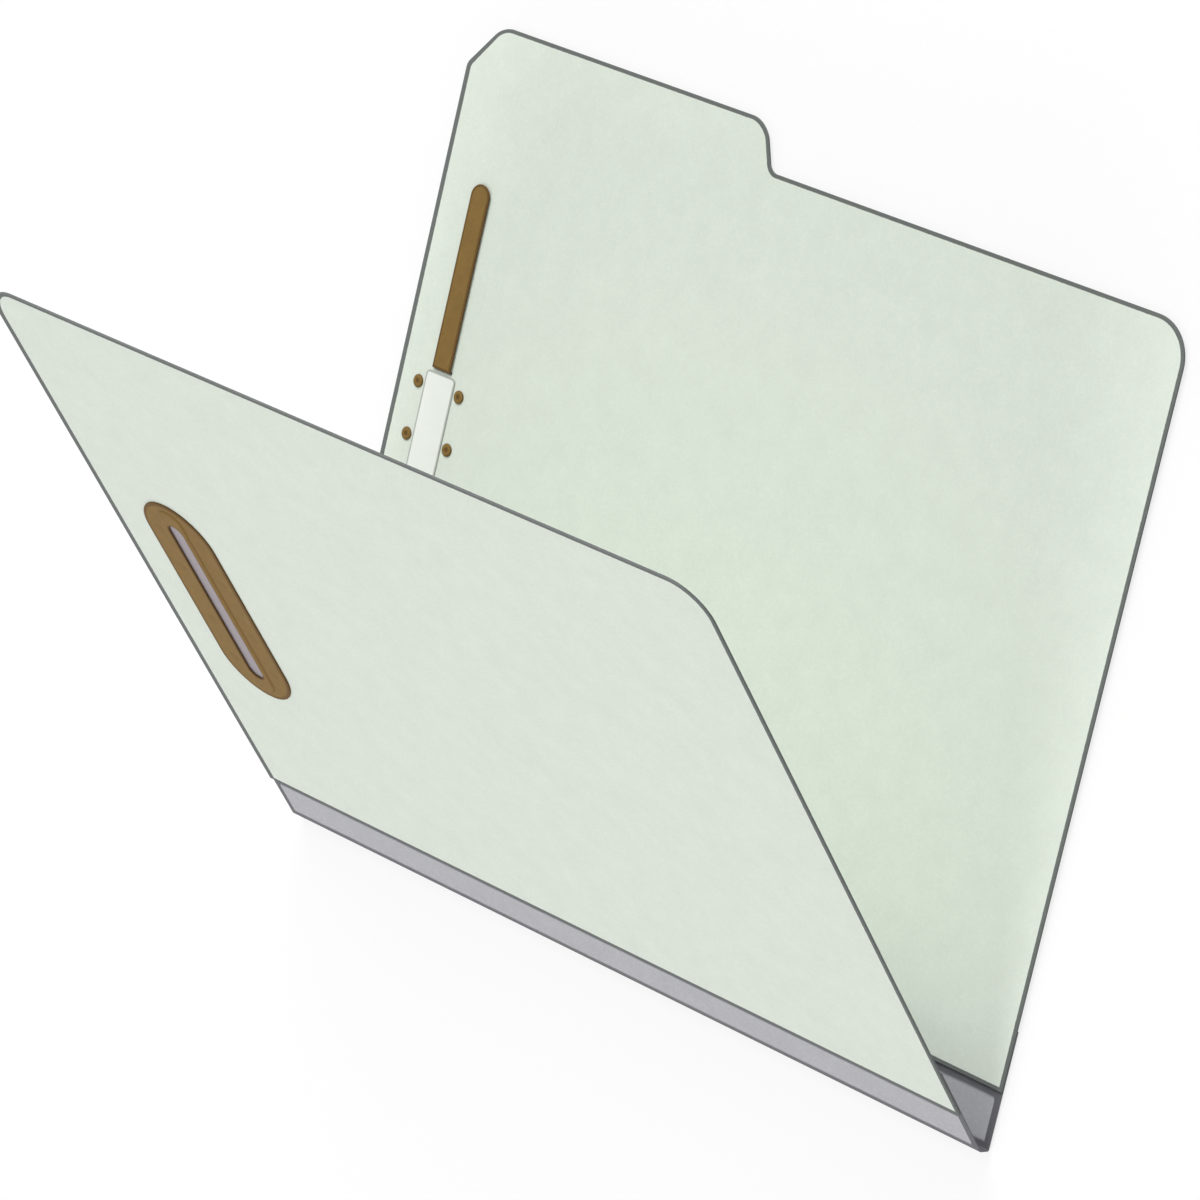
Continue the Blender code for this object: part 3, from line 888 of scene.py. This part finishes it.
class FOLDER_OT_plates(bpy.types.Operator):
    """Models the oval plates: a flat rim, a raised bead and a rolled slot"""

    bl_idname = "folder.plates"
    bl_label = "Oval plates"

    def execute(self, context):
        boards, parts = folder_settings()
        plate = self.press_plate(parts)
        plate.data.materials.append(shared_coat(parts))
        for side in SIDES:
            item = copy_to(plate, f"{side}_oval_plate", fastener_matrix(side, parts, boards))
            settle(item, side, [f"{side}_shield"])
        bpy.data.objects.remove(plate)
        return {"FINISHED"}

    def press_plate(self, parts):
        """A round-ended loop, drawn out from the rim over the bead to the slot and back."""
        rim = parts.plate_straight
        bead = parts.pitch / 2
        edge = parts.plate_width / 2
        slot = bead - 4.15 * MM
        # Half the straight length, the radius of the ends, the height in mm and the painted edge shade
        loops = (
            (rim, edge - 0.12 * MM, 0.10, 0.9),
            (rim, edge, 0.20, 1.0),
            (rim, edge, 0.44, 1.0),
            (rim, edge - 0.05 * MM, 0.54, 1.0),
            (rim, edge - 0.18 * MM, 0.60, 1.0),
            (rim, edge - 0.95 * MM, 0.60, 0.8),
            (rim, edge - 1.80 * MM, 0.60, 0.0),
            (bead, 6.20 * MM, 0.60, 0.0),
            (bead, 5.60 * MM, 0.61, 0.5),
            (bead, 5.36 * MM, 0.66, 0.7),
            (bead, 5.16 * MM, 0.77, 0.5),
            (bead, 4.90 * MM, 0.93, 0.0),
            (bead, 4.72 * MM, 1.01, 0.0),
            (bead, 4.50 * MM, 1.05, 0.0),
            (bead, 4.30 * MM, 1.05, 0.0),
            (slot, 3.85 * MM, 1.05, 0.3),
            (slot, 3.55 * MM, 1.05, 0.8),
            (slot, 3.32 * MM, 1.02, 1.0),
            (slot, 3.19 * MM, 0.95, 1.0),
            (slot, 3.15 * MM, 0.85, 1.0),
            (slot, 3.15 * MM, 0.60, 1.0),
            (slot, 3.20 * MM, 0.55, 0.8),
            (bead, 4.40 * MM, 0.55, 0.0),
            (bead, 5.00 * MM, 0.10, 0.0),
        )
        radius, level, painted_shade = loops[0][1:]
        half_step = math.pi / PLATE_STEPS
        item = add_circle("oval_plate", PLATE_STEPS, radius, (0, 0, level * MM), "NOTHING", half_step)
        bpy.ops.object.mode_set(mode="EDIT")
        bpy.ops.mesh.select_mode(type="EDGE")
        bpy.ops.mesh.select_all(action="SELECT")
        bmesh.from_edit_mesh(item.data).verts.layers.float.new("rim")
        self.draw_loop(item, (0, radius, level, painted_shade), loops[0])
        for before, after in zip(loops, loops[1:] + loops[:1]):
            step = (0, 0, (after[2] - before[2]) * MM)
            bpy.ops.mesh.extrude_region_move(TRANSFORM_OT_translate={"value": step})
            self.draw_loop(item, before, after)
        face_outward()
        select_only(item)
        bpy.ops.object.shade_smooth_by_angle(angle=math.radians(45))
        return item

    def draw_loop(self, item, before, after):
        """Gives the newest loop its painted edge shade, its radius and its length, one half at a time."""
        shape = bmesh.from_edit_mesh(item.data)
        layer = shape.verts.layers.float["rim"]
        newest = {vert.index for vert in shape.verts if vert.select}
        for vert in shape.verts:
            if vert.select:
                vert[layer] = after[3]
        size = after[1] / before[1]
        for end in (1, -1):
            pick_points(item, lambda vert: vert.index in newest and vert.co.y * end > 0)
            middle = (0, end * before[0], after[2] * MM)
            bpy.ops.transform.resize(value=(size, size, 1), center_override=middle)
            bpy.ops.transform.translate(value=(0, end * (after[0] - before[0]), 0))
        pick_points(item, lambda vert: vert.index in newest)
        bpy.ops.mesh.select_mode(type="EDGE")


class FOLDER_OT_bars(bpy.types.Operator):
    """Models the bare steel bars, bent at each end into a leg through the board"""

    bl_idname = "folder.bars"
    bl_label = "Steel bars"

    def execute(self, context):
        boards, parts = folder_settings()
        bar = self.bend_bar(parts, boards)
        for side, turn in (("back", 0.0), ("front", -OPEN_ANGLE)):
            item = copy_to(bar, f"{side}_steel_bar", fastener_matrix(side, parts, boards))
            item.data.materials.append(steel_finish(parts, turn, f"{side}_bare_steel"))
            settle(item, side, [f"{side}_base_bar"])
        bpy.data.objects.remove(bar)
        return {"FINISHED"}

    def bend_bar(self, parts, boards):
        """A strip that rises from one leg, turns, runs along the board and turns down again."""
        end = parts.pitch / 2
        level = SEAT_GAP + parts.steel_thickness / 2
        bend = parts.steel_bend
        foot = -boards.thickness - parts.prong_lift + parts.prong_thickness / 2 + SEAT_GAP
        half = [Vector((end, foot))]
        for step in range(BEND_STEPS + 1):
            angle = math.pi / 2 * step / BEND_STEPS
            turn = Vector((math.cos(angle) - 1, math.sin(angle) - 1))
            half.append(Vector((end, level)) + bend * turn)
        path = half + [Vector((-point.x, point.y)) for point in reversed(half)]
        item = add_run("steel_bar", -parts.steel_width / 2, parts.steel_width / 2, path)
        thicken(item, parts.steel_thickness, 0.0)
        ease_edges(item, parts.thin_ease)
        return item


class FOLDER_OT_prongs(bpy.types.Operator):
    """Models the coated prongs, laid flat and away from each other"""

    bl_idname = "folder.prongs"
    bl_label = "Prongs"

    def execute(self, context):
        boards, parts = folder_settings()
        prong = self.blank_prong(parts)
        prong.data.materials.append(shared_coat(parts))
        root = -boards.thickness - parts.prong_lift
        for side in SIDES:
            seat = fastener_matrix(side, parts, boards)
            for end, sign in (("upper", 1), ("lower", -1)):
                turn = Matrix.Rotation(0.0 if sign > 0 else math.pi, 4, "Z")
                matrix = seat @ Matrix.Translation((0, sign * parts.pitch / 2, root)) @ turn
                item = copy_to(prong, f"{side}_{end}_prong_blade", matrix)
                settle(item, f"{side}_{end}_prong", [f"{side}_{end}_prong"])
        bpy.data.objects.remove(prong)
        return {"FINISHED"}

    def blank_prong(self, parts):
        """A disc at the tip, with its lower half drawn down flat to the root."""
        half = parts.prong_width / 2
        tip = parts.prong - half
        item = add_circle("prong", PRONG_STEPS, half, (0, tip, 0), "NGON", math.pi / PRONG_STEPS)
        bpy.ops.object.mode_set(mode="EDIT")
        pick(item, "VERT", lambda middle: middle.y < tip)
        bpy.ops.transform.resize(value=(1, 0, 1), center_override=(0, tip, 0))
        bpy.ops.transform.translate(value=(0, -tip, 0))
        pick(item, "VERT", lambda middle: middle.y < SAME_PLACE and abs(middle.x) < 0.99 * half)
        bpy.ops.mesh.dissolve_verts()
        # The rim mark is painted edge shade on the prong.
        inset_rim(item, parts.prong_rim, parts.prong_fade)
        bpy.ops.object.mode_set(mode="OBJECT")
        thicken(item, parts.prong_thickness, 0.0)
        ease_edges(item, parts.prong_ease, 3)
        return item


class FOLDER_OT_strips(bpy.types.Operator):
    """Models the pale strips between the prongs"""

    bl_idname = "folder.strips"
    bl_label = "Pale strips"

    def execute(self, context):
        boards, parts = folder_settings()
        half_width = parts.strip_width / 2
        half_length = parts.pitch / 2 - parts.strip_setback
        strip = add_sheet("strip", -half_width, half_width, -half_length, half_length)
        bpy.ops.object.mode_set(mode="EDIT")
        for x in (-half_width, half_width):
            for y in (-half_length, half_length):
                round_corner(strip, x, y, parts.strip_corner, STRIP_STEPS)
        inset_rim(strip, parts.strip_rim, parts.strip_fade)
        bpy.ops.object.mode_set(mode="OBJECT")
        strip.data.materials.append(strip_finish(parts))
        top = -boards.thickness - SEAT_GAP
        strip.data.transform(Matrix.Translation((0, 0, top - parts.strip_thickness)))
        thicken(strip, parts.strip_thickness, 1.0)
        ease_edges(strip, parts.thin_ease)
        for side in SIDES:
            item = copy_to(strip, f"{side}_pale_strip", fastener_matrix(side, parts, boards))
            settle(item, side, [f"{side}_inner_strip"])
        bpy.data.objects.remove(strip)
        return {"FINISHED"}


class FOLDER_OT_rivets(bpy.types.Operator):
    """Models one rivet, flush outside and clinched inside, and copies it to its places"""

    bl_idname = "folder.rivets"
    bl_label = "Rivets"

    def execute(self, context):
        boards, parts = folder_settings()
        rivet = self.form_rivet(boards)
        rivet.data.materials.append(shared_coat(parts))
        rows = (parts.rivet_outer, parts.rivet_inner, -parts.rivet_inner, -parts.rivet_outer)
        places = [(x, y) for y in rows for x in (-parts.rivet_across, parts.rivet_across)]
        for side in SIDES:
            seat = fastener_matrix(side, parts, boards)
            for number, (x, y) in enumerate(places, start=1):
                matrix = seat @ Matrix.Translation((x, y, 0))
                item = copy_to(rivet, f"{side}_clinch_{number}", matrix)
                settle(item, side, [f"{side}_rivet_{number}"])
        bpy.data.objects.remove(rivet)
        return {"FINISHED"}

    def form_rivet(self, boards):
        """A disc drawn down ring by ring, with a dimple left by the clinching tool."""
        head = -(boards.thickness + SEAT_GAP) / MM
        # Radius and height in mm, and the painted shade at the edges and in the dimple
        rings = (
            (1.66, 0.63, 0.4),
            (1.80, 0.59, 1.0),
            (1.10, 0.10, 0.5),
            (1.10, head, 0.5),
            (2.00, head, 1.0),
            (2.10, head - 0.08, 1.0),
            (2.06, head - 0.24, 0.8),
            (1.88, head - 0.40, 0.4),
            (1.60, head - 0.51, 0.1),
            (1.25, head - 0.55, 0.0),
            (0.92, head - 0.51, 0.3),
            (0.70, head - 0.40, 0.8),
            (0.45, head - 0.34, 1.0),
        )
        radius, level = rings[0][:2]
        item = add_circle("rivet", RIVET_STEPS, radius * MM, (0, 0, level * MM), "NGON")
        bpy.ops.object.mode_set(mode="EDIT")
        bpy.ops.mesh.select_mode(type="FACE")
        bpy.ops.mesh.select_all(action="SELECT")
        bpy.ops.mesh.inset(thickness=0.35 * MM, depth=0)
        pick(item, "EDGE", lambda middle: middle.xy.length > 0.95 * radius * MM)
        for (before, above, _), (after, below, _) in zip(rings, rings[1:]):
            bpy.ops.mesh.extrude_region_move(
                TRANSFORM_OT_translate={"value": (0, 0, (below - above) * MM)}
            )
            size = after / before
            bpy.ops.transform.resize(value=(size, size, 1), center_override=(0, 0, below * MM))
        bpy.ops.mesh.edge_face_add()
        face_outward()

        def painted_shade_at(point):
            def away(ring):
                return abs(ring[0] * MM - point.xy.length) + abs(ring[1] * MM - point.z)

            return min(rings, key=away)[2]

        mark_rim(item, painted_shade_at)
        select_only(item)
        bpy.ops.object.shade_smooth_by_angle(angle=math.radians(50))
        return item


class FOLDER_OT_stage(bpy.types.Operator):
    """Makes the floor, the soft lamps, the sky and the camera"""

    bl_idname = "folder.stage"
    bl_label = "Stage"

    def execute(self, context):
        stage = context.scene.folder_stage
        self.lay_floor(stage)
        self.hang_lamp("inside_lamp", stage.inside_lamp, INSIDE_LAMP_PLACE, INSIDE_LAMP_TARGET)
        self.hang_lamp("outside_lamp", stage.outside_lamp, OUTSIDE_LAMP_PLACE, OUTSIDE_LAMP_TARGET)
        self.light_sky(stage)
        self.set_camera(stage)
        context.scene.view_settings.view_transform = "Standard"
        return {"FINISHED"}

    def lay_floor(self, stage):
        """A pale floor that is seen as nearly white, and as white far from the folder."""
        bpy.ops.object.select_all(action="DESELECT")
        bpy.ops.mesh.primitive_plane_add(size=FLOOR_SIZE, location=(0, 0, -FLOOR_DROP))
        floor = bpy.context.object
        floor.name = "floor"
        finish = Finish("pale_floor")
        away = finish.node("ShaderNodeVectorMath", {"operation": "LENGTH"}, {0: finish.place()}, "Value")
        plain = FLOOR_WHITE + away.between(*FLOOR_FADE) * (1 - FLOOR_WHITE)
        finish.whiten("ShaderNodeEmission", plain, "Material Output")
        pale = finish.done(Base_Color=(*stage.floor, 1.0), Roughness=0.9, Specular_IOR_Level=0.1)
        floor.data.materials.append(pale)

    def hang_lamp(self, name, watts, place, target):
        """A large round lamp that faces a target."""
        bpy.ops.object.select_all(action="DESELECT")
        bpy.ops.object.light_add(type="AREA", location=place)
        lamp = bpy.context.object
        lamp.name = name
        lamp.data.energy = watts
        lamp.data.shape = "DISK"
        lamp.data.size = LAMP_SIZE
        lamp.rotation_euler = (target - place).to_track_quat("-Z", "Y").to_euler()

    def light_sky(self, stage):
        """An even sky, which is seen and mirrored as plain white."""
        sky = Finish("studio", "worlds", "Background")
        sky.whiten("ShaderNodeBackground", 1.0, "World Output")
        bpy.context.scene.world = sky.done(Color=(1, 1, 1, 1), Strength=stage.sky)

    def set_camera(self, stage):
        """A camera at the picture's angle."""
        data = bpy.data.cameras.new("camera")
        camera = bpy.data.objects.new("camera", data)
        bpy.context.collection.objects.link(camera)
        data.sensor_width = SENSOR_WIDTH
        data.lens = stage.lens
        data.clip_start = 0.05
        data.clip_end = 50.0
        turn = Matrix((CAMERA_RIGHT, -CAMERA_DOWN, -CAMERA_AHEAD)).transposed().to_4x4()
        camera.matrix_world = Matrix.Translation(CAMERA_PLACE) @ turn
        bpy.context.scene.camera = camera


class FOLDER_PT_panel(bpy.types.Panel):
    """Lists the folder's pieces and settings"""

    bl_idname = "FOLDER_PT_panel"
    bl_label = "Pressboard folder"
    bl_space_type = "VIEW_3D"
    bl_region_type = "UI"
    bl_category = "Folder"

    def draw(self, context):
        for operator in OPERATORS:
            self.layout.operator(operator.bl_idname)
        for name in GROUPS:
            group = getattr(context.scene, name)
            box = self.layout.box()
            for key in group.__annotations__:
                box.prop(group, key)


GROUPS = {
    "folder_boards": FolderBoards,
    "folder_tape": FolderTape,
    "folder_fasteners": FolderFasteners,
    "folder_stage": FolderStage,
}
OPERATORS = (
    FOLDER_OT_stage,
    FOLDER_OT_boards,
    FOLDER_OT_tape,
    FOLDER_OT_plates,
    FOLDER_OT_bars,
    FOLDER_OT_prongs,
    FOLDER_OT_strips,
    FOLDER_OT_rivets,
)


def register():
    for kind in (*GROUPS.values(), *OPERATORS, FOLDER_PT_panel):
        bpy.utils.register_class(kind)
    for name, group in GROUPS.items():
        setattr(bpy.types.Scene, name, PointerProperty(type=group))


def unregister():
    for name in GROUPS:
        delattr(bpy.types.Scene, name)
    for kind in reversed((*GROUPS.values(), *OPERATORS, FOLDER_PT_panel)):
        bpy.utils.unregister_class(kind)


def main():
    register()
    for operator in OPERATORS:
        step = operator.bl_idname.removeprefix("folder.")
        getattr(bpy.ops.folder, step)()


if __name__ == "__main__":
    main()
